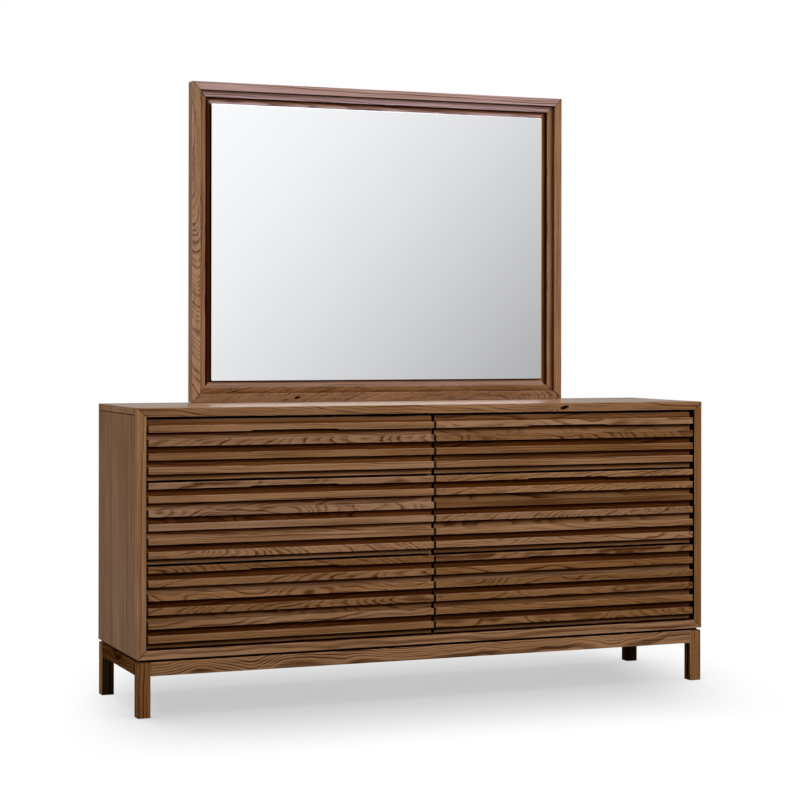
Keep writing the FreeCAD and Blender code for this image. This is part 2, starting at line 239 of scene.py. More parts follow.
class Tree:
    """A node tree under way. Kinds of nodes go without the ShaderNode that they start with."""

    def __init__(self, owner):
        self.owner = owner
        owner.use_nodes = True
        self.nodes = owner.node_tree.nodes
        self.links = owner.node_tree.links
        self.nodes.clear()

    def node(self, kind, settings=None, inputs=None, output=0):
        node = self.nodes.new("ShaderNode" + kind)
        for name, value in (settings or {}).items():
            setattr(node, name, value)
        for name, value in (inputs or {}).items():
            if isinstance(value, Wire):
                self.links.new(value.socket, node.inputs[name])
            else:
                node.inputs[name].default_value = value
        return Wire(self, node.outputs[output]) if node.outputs else None

    def split(self, vector):
        """The three numbers of a vector or colour."""
        node = self.nodes.new("ShaderNodeSeparateXYZ")
        self.links.new(vector.socket, node.inputs[0])
        return [Wire(self, socket) for socket in node.outputs]

    def join(self, *values):
        return self.node("CombineXYZ", {}, dict(enumerate(values)))

    def attribute(self, name, output="Vector"):
        return self.node("Attribute", {"attribute_name": name}, {}, output)

    def place(self):
        """Place in the object, in millimetres: x, y and z."""
        coordinates = self.node("TexCoord", {}, {}, "Object")
        inputs = {0: coordinates, "Scale": 1.0 / MM}
        return self.split(self.node("VectorMath", {"operation": "SCALE"}, inputs))

    def noise(self, place, waves, detail=0.0, shift=0.0, output="Fac"):
        """A noise with so many waves per unit each way. A shift takes it off another with the same waves."""
        first, second, third = (part * wave for part, wave in zip(place, waves))
        vector = self.join(first, second, third + shift if shift else third)
        inputs = {"Vector": vector, "Scale": 1.0, "Detail": detail}
        return self.node("TexNoise", {}, inputs, output)

    def mix(self, share, first, second):
        """Between two colours."""
        inputs = {0: share, 6: colour(first), 7: colour(second)}
        return self.node("Mix", {"data_type": "RGBA"}, inputs, 2)

    def scaled(self, tint, factors):
        """A colour times another, channel by channel, with no upper limit."""
        return self.node("VectorMath", {"operation": "MULTIPLY"}, {0: tint, 1: factors})

    def dim(self, tint, share):
        """A colour times a number."""
        return self.node("VectorMath", {"operation": "SCALE"}, {0: tint, "Scale": share})

    def surface(self, inputs, bump=None, depth=0.0):
        """Joins the finish itself to the material's output, and hands back the material."""
        if bump is not None:
            lift = {"Strength": 1.0, "Distance": depth, "Height": bump}
            inputs = {**inputs, "Normal": self.node("Bump", {}, lift)}
        finish = self.node("BsdfPrincipled", {}, inputs)
        self.node("OutputMaterial", {}, {"Surface": finish})
        return self.owner


def colour(value):
    """A colour socket takes four numbers."""
    return value if isinstance(value, Wire) else (*value[:3], 1)


def timber(name, late, early, pore, ring, gloss, shine=0.008, coat=0.0, log=None, board=None):
    """Ash cut from a log: growth rings, knots, rows of open pores and fine fibre, under a satin lacquer.

    Where no grain is written in, log gives the log's coordinates, and board the tone, warmth and figure.
    """
    tree = Tree(bpy.data.materials.new(name))
    place = log(tree) if log else tree.split(tree.attribute("log"))
    along, radial, across = place
    shade, warmth, figure = tree.split(tree.join(*board) if board else tree.attribute("board"))
    # Wear and dark joints, with painted shade and painted highlights, one number per corner
    wear = tree.attribute("wear", "Fac")
    knot_along, knot_side, knotted = tree.split(tree.attribute("knot"))
    off_knot = (knot_along * knot_along + knot_side * knot_side) ** 0.5
    knot = knotted * (1 - off_knot.step(0.55, 1.0))
    swirl = knotted * (1 - off_knot.step(0.3, 3.0))
    sway_radial, sway_across, drift = tree.split(tree.noise(place, SWAY_WAVES, 1.0, output="Color"))
    ripple = tree.noise(place, RIPPLE_WAVES, 1.0) - 0.5
    from_heart = radial + (sway_radial - 0.5) * figure * SWAY + ripple * figure * RIPPLE + swirl * SWIRL
    from_side = across + (sway_across - 0.5) * figure * SWAY
    radius = (from_heart * from_heart + from_side * from_side) ** 0.5
    weather = tree.noise((radius, 3.0, 7.0), (0.07, 1, 1), 1.0) - 0.5
    year = radius / ring + weather * 5.0
    season = year.fraction()
    early_share = (1 - season.step(0.05, 0.55)).maximum(season.step(0.92, 1.0))
    vigour = tree.node("TexWhiteNoise", {"noise_dimensions": "1D"}, {"W": year.whole()}, "Value")
    rings = early_share * (vigour * 0.65 + 0.35)
    pores = tree.noise(place, PORE_WAVES, 1.0).step(0.56, 0.72) * (rings * 0.8 + 0.2)
    fibre = tree.noise(place, FIBRE_WAVES, 3.0) - 0.5
    streak = tree.noise(place, STREAK_WAVES, 2.0, shift=40.0) - 0.5
    tint = tree.mix(rings * 0.95 + fibre * 1.4 + streak * 1.5, late, early)
    tint = tree.mix((pores * 0.7).maximum(knot), tint, tree.dim(pore, 1 - knot * 0.7))
    tint = tree.mix(warmth, tint, tree.scaled(tint, WARM))
    tint = tree.mix(0 - warmth, tint, tree.scaled(tint, COOL))
    # Stain takes the most from blue and the least from red, and the more so in dark joints and where shade is
    # painted in; an arris comes out lighter, rubbed and with a painted highlight
    level = 1 + (drift - 0.5) * 0.5 + shade * 0.2 + wear.maximum(0.0) * 0.35
    stain = tree.join(level, level ** 1.25, level ** 1.8)
    clear = 1 - (0 - wear).maximum(0.0) * 0.74
    gathered = tree.join(clear ** 2.2, clear ** 3.35, clear ** 5.0)
    inputs = {
        "Base Color": tree.scaled(tree.scaled(tint, stain), gathered),
        "Roughness": gloss + pores * 0.2,
        "Specular IOR Level": shine,
        "Coat Weight": coat,
        "Coat Roughness": 0.2,
    }
    return tree.surface(inputs, pores * -0.7 - rings * 0.25 + fibre * 0.4, 0.12 * MM)


def fixed_log(axis):
    """A log for pieces that have no grain of their own written in: axis is the way along the grain."""
    start = 731.0
    heart = 90.0

    def log(tree):
        x, y, z = tree.place()
        along, radial, across = {"X": (x, y, z), "Z": (z, y, x)}[axis]
        return along + start, radial + heart, across

    return log


def fibre_board(name, tint, fleck_tint):
    """Pressed board with a mottled, faintly fibrous face."""
    tree = Tree(bpy.data.materials.new(name))
    place = tree.place()
    cloud = tree.noise(place, (0.012, 0.012, 0.012), 3.0) - 0.5
    fleck = tree.noise(place, (0.5, 0.5, 1.4), 2.0)
    flecked = tree.mix(fleck.step(0.6, 0.8), tint, fleck_tint)
    inputs = {
        "Base Color": tree.dim(flecked, 1 + cloud * 0.35 + (fleck - 0.5) * 0.5),
        "Roughness": 0.62 + cloud * 0.2,
    }
    return tree.surface(inputs, fleck, 0.1 * MM)


def plated_steel(name, tint):
    """Rolled and zinc plated steel, with fine draw lines along the piece."""
    tree = Tree(bpy.data.materials.new(name))
    place = tree.place()
    lines = tree.noise(place, (2.5, 0.02, 2.5), 2.0) - 0.5
    bloom = tree.noise(place, (0.05, 0.03, 0.05), 2.0) - 0.5
    inputs = {
        "Base Color": tree.dim(tint, 1 + bloom * 0.2 + lines * 0.1),
        "Metallic": 1.0,
        "Roughness": 0.36 + bloom * 0.25 + lines * 0.15,
    }
    return tree.surface(inputs, lines, 0.04 * MM)


def silvered_glass(name, tint):
    """The mirror's face: clean silvering behind clear glass."""
    tree = Tree(bpy.data.materials.new(name))
    haze = tree.noise(tree.place(), (0.004, 0.004, 0.004), 2.0)
    shade = tree.dim(tint, 0.99 + haze * 0.02)
    return tree.surface({"Base Color": shade, "Metallic": 1.0, "Roughness": 0.012 + haze * 0.012})


def glass_edge(name, dark, light):
    """Ground edge of the glass, grey green."""
    tree = Tree(bpy.data.materials.new(name))
    grind = tree.noise(tree.place(), (1.5, 3.0, 1.5), 2.0)
    return tree.surface({"Base Color": tree.mix(grind, dark, light), "Roughness": 0.25 + grind * 0.2})


class Piece:
    """The object that stands for a CAD node. Its parts are shaped one at a time and gathered in one mesh."""

    def __init__(self, node):
        self.node = node
        self.name = node + "_dressed"
        self.gathered = bmesh.new()

    def gather(self, part):
        """Adds a finished part and ends it."""
        step = bpy.data.meshes.new(self.name + "_step")
        part.to_mesh(step)
        part.free()
        self.gathered.from_mesh(step)
        bpy.data.meshes.remove(step)

    def finish(self, body, slot, *materials):
        """Makes the object, rides it on its body and lets it stand for its CAD node."""
        mesh = bpy.data.meshes.new(self.name)
        self.gathered.to_mesh(mesh)
        self.gathered.free()
        for material in materials:
            mesh.materials.append(material)
        made = bpy.data.objects.new(self.name, mesh)
        bpy.context.scene.collection.objects.link(made)
        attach(made, body)
        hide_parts(self.node)


def box_part(low, high):
    """A new mesh that holds one square-edged box."""
    part = bmesh.new()
    made = bmesh.ops.create_cube(part, size=1.0)
    bmesh.ops.scale(part, vec=high - low, verts=made["verts"])
    bmesh.ops.translate(part, vec=(low + high) / 2, verts=made["verts"])
    return part


def slice_part(part, place, normal, clear=False):
    """Cuts new edges where a plane crosses the part, and clears what lies beyond the plane if asked to."""
    bmesh.ops.bisect_plane(
        part,
        geom=part.verts[:] + part.edges[:] + part.faces[:],
        dist=NEAR / 10,
        plane_co=place,
        plane_no=normal,
        clear_outer=clear,
    )


def extrude(part, faces, reach):
    """Draws faces out by reach."""
    made = bmesh.ops.extrude_face_region(part, geom=faces)
    moved = [item for item in made["geom"] if isinstance(item, bmesh.types.BMVert)]
    bmesh.ops.translate(part, vec=reach, verts=moved)


def soften(part, edges, radius, segments=2, wear=RUBBED_ARRIS_AND_HIGHLIGHT):
    """Rounds edges over, and marks the new narrow faces: lighter on an arris, rubbed and with a painted
    highlight, and dark at a joint.
    """
    marks = part.faces.layers.float.get("wear") or part.faces.layers.float.new("wear")
    made = bmesh.ops.bevel(
        part,
        geom=edges,
        offset=radius,
        offset_type="OFFSET",
        segments=segments,
        profile=0.5,
        affect="EDGES",
        clamp_overlap=True,
        material=-1,
    )
    for face in made["faces"]:
        face.smooth = True
        face[marks] = wear


def sharp_edges(part):
    """Edges where two faces meet at an outer corner."""
    return [edge for edge in part.edges if edge.is_manifold and edge.calc_face_angle_signed() > SHARP]


def runs_along(edge, direction):
    """Whether an edge lies along a direction."""
    run = (edge.verts[1].co - edge.verts[0].co).normalized()
    return abs(run.dot(direction)) > PARALLEL


class Grain:
    """One board's place in its log, with its own tone."""

    def __init__(self, draw, cut, along, face, tones=(0.0, 1.0), warmth=(0.0, 1.0), knot=None):
        turns, hearts, lean, self.figure, self.closeness = CUTS[cut]
        turn = math.radians(draw.uniform(*turns))
        self.along = along
        self.face = face
        self.side = along.cross(face)
        self.cosine = math.cos(turn)
        self.sine = math.sin(turn)
        self.heart = draw.uniform(*hearts)
        self.offset = draw.uniform(-15, 15)
        self.lean = draw.uniform(*lean) * draw.choice((-1, 1))
        self.start = draw.uniform(0, 9000)
        self.shade = draw.gauss(*tones)
        self.warmth = draw.uniform(*warmth)
        self.knot = knot

    def place(self, point):
        """A point of the board, in the log's millimetres."""
        along = point.dot(self.along) / MM
        out = point.dot(self.face) / MM
        side = point.dot(self.side) / MM
        radial = self.heart + out * self.cosine - side * self.sine + along * self.lean
        across = self.offset + out * self.sine + side * self.cosine
        return Vector((self.start + along, radial * self.closeness, across * self.closeness))

    def off_knot(self, point):
        """How far a point lies from the board's knot, in knots along and across the grain."""
        if self.knot is None:
            return Vector((0, 0, 0))
        along, side, size = self.knot
        off_side = point.dot(self.side) - side
        off_along = point.dot(self.along) - along + off_side
        return Vector((off_along / size * KNOT_SHAPE[0], off_side / size * KNOT_SHAPE[1], 1))


# Painted shade per vertex, kept in the layer called stain
def painted_shade_layer(part):
    return part.verts.layers.float.get("stain") or part.verts.layers.float.new("stain")


def paint_shade_line(part, height, depth, fade, amount):
    """Paints shade along a line across the part, darkest on the line and fading out below it."""
    for place in (height, height - fade):
        slice_part(part, Z * place, Z)
    stain = painted_shade_layer(part)
    for vertex in part.verts:
        if abs(vertex.co.z - height) < NEAR and abs(vertex.co.y - depth) < NEAR:
            vertex[stain] = -amount


def paint_shade_on_undersides(part):
    """Marks every face that looks down with painted shade."""
    marks = part.faces.layers.float["wear"]
    for face in part.faces:
        face.normal_update()
        if face.normal.z < -ROUNDED:
            face[marks] = DARK_JOINT_AND_SHADE


def mark_grain(part, centre, grain_of):
    """Writes the log's coordinates and the board's tone on every corner of the part."""
    log = part.loops.layers.float_vector.new("log")
    board = part.loops.layers.float_vector.new("board")
    knot = part.loops.layers.float_vector.new("knot")
    wear = part.loops.layers.float.new("wear")
    marks = part.faces.layers.float["wear"]
    stain = painted_shade_layer(part)
    for face in part.faces:
        grain = grain_of(face)
        for loop in face.loops:
            place = loop.vert.co - centre
            loop[log] = grain.place(place)
            loop[board] = Vector((grain.shade, grain.warmth, grain.figure))
            loop[knot] = grain.off_knot(place)
            # Wear and dark joints, with painted shade and painted highlights added in
            loop[wear] = max(DARK_JOINT_AND_SHADE, face[marks] + loop.vert[stain])
    part.faces.layers.float.remove(marks)
    part.verts.layers.float.remove(painted_shade_layer(part))


def plain_board(piece, low, high, grain, radius, joint, painted_shade_face=None):
    """A square-edged board: long edges rounded over, and a fine chamfer round both ends.

    The face towards the direction given last is painted dark, as shade.
    """
    part = box_part(low, high)
    full = (high - low).dot(grain.along) * PARALLEL
    lengthwise = [edge for edge in part.edges if edge.calc_length() > full and runs_along(edge, grain.along)]
    soften(part, lengthwise, radius)
    ends = [face for face in part.faces if abs(face.normal.dot(grain.along)) > PARALLEL]
    soften(part, list({edge for face in ends for edge in face.edges}), joint, 1, DARK_JOINT_AND_SHADE)
    marks = part.faces.layers.float["wear"]
    # The face towards the given direction takes painted shade
    for face in part.faces:
        if painted_shade_face is not None and face.normal.dot(painted_shade_face) > PARALLEL:
            face[marks] = DARK_JOINT_AND_SHADE
    mark_grain(part, (low + high) / 2, lambda face: grain)
    piece.gather(part)


def glued_panel(piece, low, high, across, grains, edge, polished=None, painted_shade_rim=False, undersides=()):
    """A panel of staves glued edge to edge: one solid whose grain changes at each glue line.

    The face towards polished, a direction, takes the piece's second material. Undersides are the heights at
    which something is fixed across its front: below each, shade is painted in. The rim can be painted dark as
    shade.
    """
    part = box_part(low, high)
    start = low.dot(across)
    count = len(grains)
    width = (high - low).dot(across) / count
    for index in range(1, count):
        slice_part(part, across * (start + index * width), across)
    soften(part, sharp_edges(part), edge, 1, DARK_JOINT_AND_SHADE)
    marks = part.faces.layers.float["wear"]
    # The rim, down in the gaps round the panel, is painted dark as shade
    for face in part.faces:
        if painted_shade_rim and abs(face.normal.y) < CHAMFERED:
            face[marks] = DARK_JOINT_AND_SHADE
    # Shade painted in below each slat
    for height in undersides:
        paint_shade_line(part, height, low.y, bpy.context.scene.chest_sizes.fade, PAINTED_SHADE_BELOW_SLAT)

    def grain_of(face):
        index = int((face.calc_center_median().dot(across) - start) / width)
        return grains[max(0, min(count - 1, index))]

    if polished is not None:
        for face in part.faces:
            face.material_index = int(face.normal.dot(polished) > CHAMFERED)
    mark_grain(part, (low + high) / 2, grain_of)
    piece.gather(part)


def mitred_member(piece, length, section, placing, grains, corners, painted_shades):
    """A moulding cut at 45 degrees at both ends. Its section lists inward and depth.

    At each of its corners shade is painted in, as much as its list of painted shade says, and the next of its
    grains begins. One number more in that list than the corners gives how dark the last band is painted all
    over, as shade. A member without corners has painted shade all along its inner side.
    """
    sizes = bpy.context.scene.chest_sizes
    part = bmesh.new()
    half = length / 2
    outline = [part.verts.new((-half, depth, -inward)) for inward, depth in section]
    extrude(part, [part.faces.new(outline)], (length, 0, 0))
    bmesh.ops.recalc_face_normals(part, faces=part.faces[:])
    lengthwise = [edge for edge in sharp_edges(part) if abs(edge.verts[0].co.x - edge.verts[1].co.x) > half]
    soften(part, lengthwise, sizes.arris)
    for end in (-1, 1):
        slice_part(part, (end * half, 0, 0), (end, 0, -1), clear=True)
        bmesh.ops.edgeloop_fill(part, edges=[edge for edge in part.edges if edge.is_boundary])
    bmesh.ops.recalc_face_normals(part, faces=part.faces[:])
    slanted = [face for face in part.faces if abs(abs(face.normal.x) - math.sqrt(0.5)) < 0.01]
    rims = {edge for face in slanted if len(face.verts) > 4 for edge in face.edges}
    soften(part, list(rims), sizes.joint, 1, DARK_JOINT_AND_SHADE)
    for (inward, depth, fade), amount in zip(corners, painted_shades):
        paint_shade_line(part, -inward, depth, fade, amount)
    marks = part.faces.layers.float["wear"]
    band = part.faces.layers.int.new("band")
    last = len(grains) - 1
    for face in part.faces:
        inward = -face.calc_center_median().z
        face[band] = min(last, sum(inward > corner[0] + 10 * NEAR for corner in corners))
        if len(painted_shades) > len(corners) and face[band] == last:
            face[marks] = -painted_shades[-1]
        # With no corners, the inner side is painted dark as shade
        if not corners and face.normal.z < -FACING:
            face[marks] = DARK_JOINT_AND_SHADE
    bmesh.ops.transform(part, matrix=placing, verts=part.verts[:])
    # Faces that look down are painted dark as shade
    paint_shade_on_undersides(part)
    mark_grain(part, placing.translation, lambda face: grains[face[band]])
    part.faces.layers.int.remove(part.faces.layers.int["band"])
    piece.gather(part)


def frame_members(names, low, high, section, grains, corners=(), painted_shades=((),) * 4):
    """Four mitred members round a rectangle from low to high: top, right, bottom and left."""
    width = high.x - low.x
    height = high.z - low.z
    centre = Vector(((low.x + high.x) / 2, low.y, (high.z + low.z) / 2))
    sides = ((0, width, height), (90, height, width), (180, width, height), (270, height, width))
    for name, boards, amounts, (turn, length, span) in zip(names, grains, painted_shades, sides):
        placing = Matrix.Translation(centre)
        placing = placing @ Matrix.Rotation(math.radians(turn), 4, "Y") @ Matrix.Translation((0, 0, span / 2))
        piece = Piece(name)
        mitred_member(piece, length, section, placing, boards, corners, amounts)
        piece.finish("carcass", "stained_ash", ash())


def draws(step):
    """The random draws of one step of the build."""
    return random.Random(bpy.context.scene.chest_stage.seed + step)


def finish_node(name, material):
    """Gives a CAD node that keeps its shape its finish."""
    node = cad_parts[name]
    node.data.materials.clear()
    node.data.materials.append(material)


def shared(name, make, *settings, **more):
    """A material of this name, made once."""
    return bpy.data.materials.get(name) or make(name, *settings, **more)


def stained(name, gloss, late=None, early=None, **more):
    """One of the finishes of the stained ash."""
    colours = bpy.context.scene.chest_colours
    woods = (late or colours.late_wood, early or colours.early_wood, colours.pore)
    return shared(name, timber, *woods, bpy.context.scene.chest_sizes.ring_width, gloss, **more)


def ash():
    """The boards of case, drawers and mirror."""
    return stained("ash_boards", 0.42)


def polished_ash():
    """The same boards under the fuller lacquer of the top."""
    return stained("ash_top", 0.33, shine=0.9, coat=0.6)


def matt_ash():
    """Less lacquered and more contrasting boards in the base."""
    colours = bpy.context.scene.chest_colours
    return stained("ash_base", 0.6, colours.base_late, colours.base_early, shine=0.0)


def hidden_ash(name, axis, shade=-0.3):
    """The same stained ash for pieces with no written grain."""
    return stained(name, 0.5, log=fixed_log(axis), board=(shade, 0.3, 0.4))


def box_wood():
    """The pale boards of the drawer boxes."""
    colours = bpy.context.scene.chest_colours
    woods = (colours.box_late, colours.box_early, colours.box_pore)
    return shared("box_boards", timber, *woods, bpy.context.scene.chest_sizes.box_ring_width, 0.4)


def zinc_steel():
    """The sheet steel of slides and screws."""
    return shared("zinc_steel", plated_steel, bpy.context.scene.chest_colours.steel)


class CHEST_OT_base(Operator):
    """Four legs, four aprons and the spacer under the case"""

    bl_idname = "chest.base"
    bl_label = "Base"

    # How light each leg's boards are. The rear legs' tones also paint in how they look under the case:
    # painted shade on the rear right leg, painted light on the rear left one
    legs = {"front_left": -1.7, "front_right": -0.9, "rear_left": -0.8, "rear_right": -4.2}

    def board(self, name, grain, rounding, painted_shade_face=None):
        """One leg or apron. Its long edges are rounded by so many arrises."""
        sizes = bpy.context.scene.chest_sizes
        low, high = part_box(name)
        piece = Piece(name)
        plain_board(piece, low, high, grain, sizes.arris * rounding, sizes.joint, painted_shade_face)
        piece.finish("carcass", "stained_ash", matt_ash())

    def execute(self, context):
        draw = draws(1)
        for place, light in self.legs.items():
            grain = Grain(draw, "striped", Z, -Y, (light, 0.1), (0.8, 1.0))
            self.board("leg_" + place, grain, 1.5)
        # The aprons' tops, down in the shadow gap under the case, are painted dark as shade
        for place in ("front", "rear"):
            grain = Grain(draw, "wavy", X, -Y, (-0.2, 0.1), (0.3, 0.5))
            self.board("apron_" + place, grain, 0.6, Z)
        for place, face in (("left", -X), ("right", X)):
            grain = Grain(draw, "wavy", Y, face, (-2.7, 0.1), (0.8, 1.0))
            self.board("apron_" + place, grain, 0.6, Z)
        # The spacer is stained near black, which paints in the shade of the gap between case and base
        finish_node("base_spacer", hidden_ash("ash_deep_stain", "X", -4.3))
        return {"FINISHED"}


class CHEST_OT_case_frame(Operator):
    """The mitred face frame round the drawers"""

    bl_idname = "chest.case_frame"
    bl_label = "Case frame"

    def execute(self, context):
        draw = draws(2)
        low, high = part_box("frame_rail_top")
        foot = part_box("frame_rail_bottom")[0]
        band = high.z - low.z
        depth = high.y - low.y
        section = [(0, 0), (band, 0), (band, depth), (0, depth)]
        names = ("frame_rail_top", "frame_stile_right", "frame_rail_bottom", "frame_stile_left")
        grains = [
            (Grain(draw, "flat", X, -Y, (-1.0, 0.1), (0.3, 0.5), (0.425, 0.0125, 0.010)),),
            (Grain(draw, "rift", Z, -Y, (-1.2, 0.1), (0.9, 1.3)),),
            (Grain(draw, "plain", X, -Y, (0.2, 0.1), (0.4, 0.6)),),
            (Grain(draw, "fine", Z, -Y, (0.65, 0.1), (0.7, 0.9)),),
        ]
        # The frame's inner sides round the drawers are painted dark as shade
        frame_members(names, Vector((low.x, low.y, foot.z)), high, section, grains)
        return {"FINISHED"}


class CHEST_OT_case_panels(Operator):
    """Sides, top, floor, back and the upright between the columns"""

    bl_idname = "chest.case_panels"
    bl_label = "Case panels"

    def execute(self, context):
        sizes = context.scene.chest_sizes
        draw = draws(3)
        for place, face in (("left", -X), ("right", X)):
            name = "side_panel_" + place
            low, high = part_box(name)
            piece = Piece(name)
            grains = [Grain(draw, "quarter", Z, face, (-0.75, 0.2), (0.0, 0.2)) for stave in range(5)]
            glued_panel(piece, low, high, Y, grains, sizes.seam)
            piece.finish("carcass", "stained_ash", ash())
        low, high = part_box("top_panel")
        piece = Piece("top_panel")
        grains = [Grain(draw, "flat", X, Z, (0.0, 0.4)) for stave in range(5)]
        glued_panel(piece, low, high, Y, grains, sizes.seam, Z)
        piece.finish("carcass", "stained_ash", ash(), polished_ash())
        finish_node("bottom_panel", hidden_ash("ash_inside_level", "X"))
        finish_node("centre_divider", hidden_ash("ash_inside_upright", "Z"))
        colours = context.scene.chest_colours
        finish_node("back_panel", shared("pressed_board", fibre_board, colours.board, colours.fleck))
        return {"FINISHED"}


class CHEST_OT_drawer_fronts(Operator):
    """Drawer fronts: a flat panel with slats across it, the highest one notched as a finger pull"""

    bl_idname = "chest.drawer_fronts"
    bl_label = "Drawer fronts"

    # How light and how warm each drawer's boards are: darker in the right column and in the bottom row
    tones = {
        "left": {"top": (-0.15, 0.0), "middle": (-0.15, 0.0), "bottom": (-1.0, 0.25)},
        "right": {"top": (-1.1, 0.1), "middle": (-1.05, 0.1), "bottom": (-1.35, 0.5)},
    }

    # How their slats were sawn
    cuts = {
        "left": ("wild", "wild", "flat", "flat", "rift", "rift", "rift", "curl"),
        "right": ("wild", "wild", "wild", "flat", "rift", "curl", "wild", "curl"),
    }

    def slat(self, piece, low, high, grain, sizes, notched):
        part = box_part(low, high)
        if notched:
            centre = (low.x + high.x) / 2
            half = sizes.pull_length / 2
            steps = 4
            for side in (-1, 1):
                for index in range(steps + 1):
                    reach = half - sizes.pull_run * index / steps
                    slice_part(part, X * (centre + side * reach), X)
            for vertex in part.verts:
                inside = half - abs(vertex.co.x - centre)
                if inside > -NEAR and vertex.co.z < (low.z + high.z) / 2:
                    share = max(0.0, min(1.0, inside / sizes.pull_run))
                    vertex.co.z += sizes.pull_rise * share * share * (3 - 2 * share)
        soften(part, sharp_edges(part), sizes.arris)
        # Its undersides are painted dark as shade
        paint_shade_on_undersides(part)
        mark_grain(part, (low + high) / 2, lambda face: grain)
        piece.gather(part)

    def execute(self, context):
        sizes = context.scene.chest_sizes
        draw = draws(4)
        for column in COLUMNS:
            for row in ROWS:
                body = "drawer_" + column + "_" + row
                light, warm = self.tones[column][row]
                low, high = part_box(body + "_front")
                staves = [Grain(draw, "flat", X, -Y, (light, 0.3)) for stave in range(3)]
                slats_low, slats_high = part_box(body + "_slats")
                count = round((slats_high.z - slats_low.z - sizes.slat_height) / sizes.slat_pitch) + 1
                undersides = [slats_low.z + index * sizes.slat_pitch for index in range(count)]
                # Shade is painted below each slat, and below the top edge where a strip shows above the
                # highest slat
                lines = undersides + ([high.z] if high.z - slats_high.z > sizes.fade else [])
                piece = Piece(body + "_front")
                # The panel's rim is painted dark as shade
                glued_panel(piece, low, high, Z, staves, sizes.joint, painted_shade_rim=True, undersides=lines)
                piece.finish(body, "stained_ash", ash())
                piece = Piece(body + "_slats")
                for index, underside in enumerate(undersides):
                    cut = draw.choice(self.cuts[column])
                    grain = Grain(draw, cut, X, -Y, (light, 0.7), (warm, warm + 0.7))
                    low = Vector((slats_low.x, slats_low.y, underside))
                    high = Vector((slats_high.x, slats_high.y, min(low.z + sizes.slat_height, slats_high.z)))
                    self.slat(piece, low, high, grain, sizes, index == count - 1)
                piece.finish(body, "stained_ash", ash())
        return {"FINISHED"}


class CHEST_OT_drawer_boxes(Operator):
    """Drawer boxes with grooved boards, their bottoms and the steel slides"""

    bl_idname = "chest.drawer_boxes"
    bl_label = "Drawer boxes"

    # The groove for the bottom, the play above the bottom in it, and how much the boards' edges are eased
    groove_depth = 0.005
    groove_play = 0.0003
    box_edge = 0.0015
    bottom_edge = 0.0004

    def board(self, piece, low, high, grain, groove, run):
        """A box board with a groove for the bottom in its face.

        groove is the groove's lower and upper height, and run its stretch along the board.
        """
        part = box_part(low, high)
        for height in groove:
            slice_part(part, Z * height, Z)
        for place in run:
            slice_part(part, grain.along * place, grain.along)
        level = [edge for edge in sharp_edges(part) if abs(edge.verts[0].co.z - edge.verts[1].co.z) < NEAR]
        soften(part, level, self.box_edge)
        bed = []
        for face in part.faces:
            centre = face.calc_center_median()
            inside = groove[0] < centre.z < groove[1] and run[0] < centre.dot(grain.along) < run[1]
            if inside and face.normal.dot(grain.face) > FACING:
                bed.append(face)
        extrude(part, bed, grain.face * -self.groove_depth)
        bmesh.ops.delete(part, geom=[face for face in bed if face.is_valid], context="FACES_ONLY")
        mark_grain(part, (low + high) / 2, lambda face: grain)
        piece.gather(part)

    def execute(self, context):
        thick = context.scene.chest_sizes.box_board
        draw = draws(5)
        for column in COLUMNS:
            for row in ROWS:
                body = "drawer_" + column + "_" + row
                low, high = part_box(body + "_box")
                seat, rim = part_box(body + "_bottom")
                piece = Piece(body + "_box")
                groove = (seat.z, rim.z + self.groove_play)
                inner_low = low + Vector((thick, thick, 0))
                inner_high = high - Vector((thick, thick, 0))
                run = (inner_low.y - self.groove_depth, inner_high.y + self.groove_depth)
                for x0, x1, inner in ((low.x, inner_low.x, X), (inner_high.x, high.x, -X)):
                    ends = Vector((x0, low.y, low.z)), Vector((x1, high.y, high.z))
                    self.board(piece, *ends, Grain(draw, "flat", Y, inner), groove, run)
                # Front and back are grooved from end to end
                run = (low.x, high.x)
                for y0, y1, inner in ((low.y, inner_low.y, Y), (inner_high.y, high.y, -Y)):
                    ends = Vector((inner_low.x, y0, low.z)), Vector((inner_high.x, y1, high.z))
                    self.board(piece, *ends, Grain(draw, "flat", X, inner), groove, run)
                piece.finish(body, "drawer_wood", box_wood())
                bottom = Piece(body + "_bottom")
                plain_board(bottom, seat, rim, Grain(draw, "flat", X, Z), self.bottom_edge, self.bottom_edge)
                bottom.finish(body, "backing_board", box_wood())
                finish_node(body + "_runners", zinc_steel())
            finish_node("slide_channels_" + column, zinc_steel())
        return {"FINISHED"}


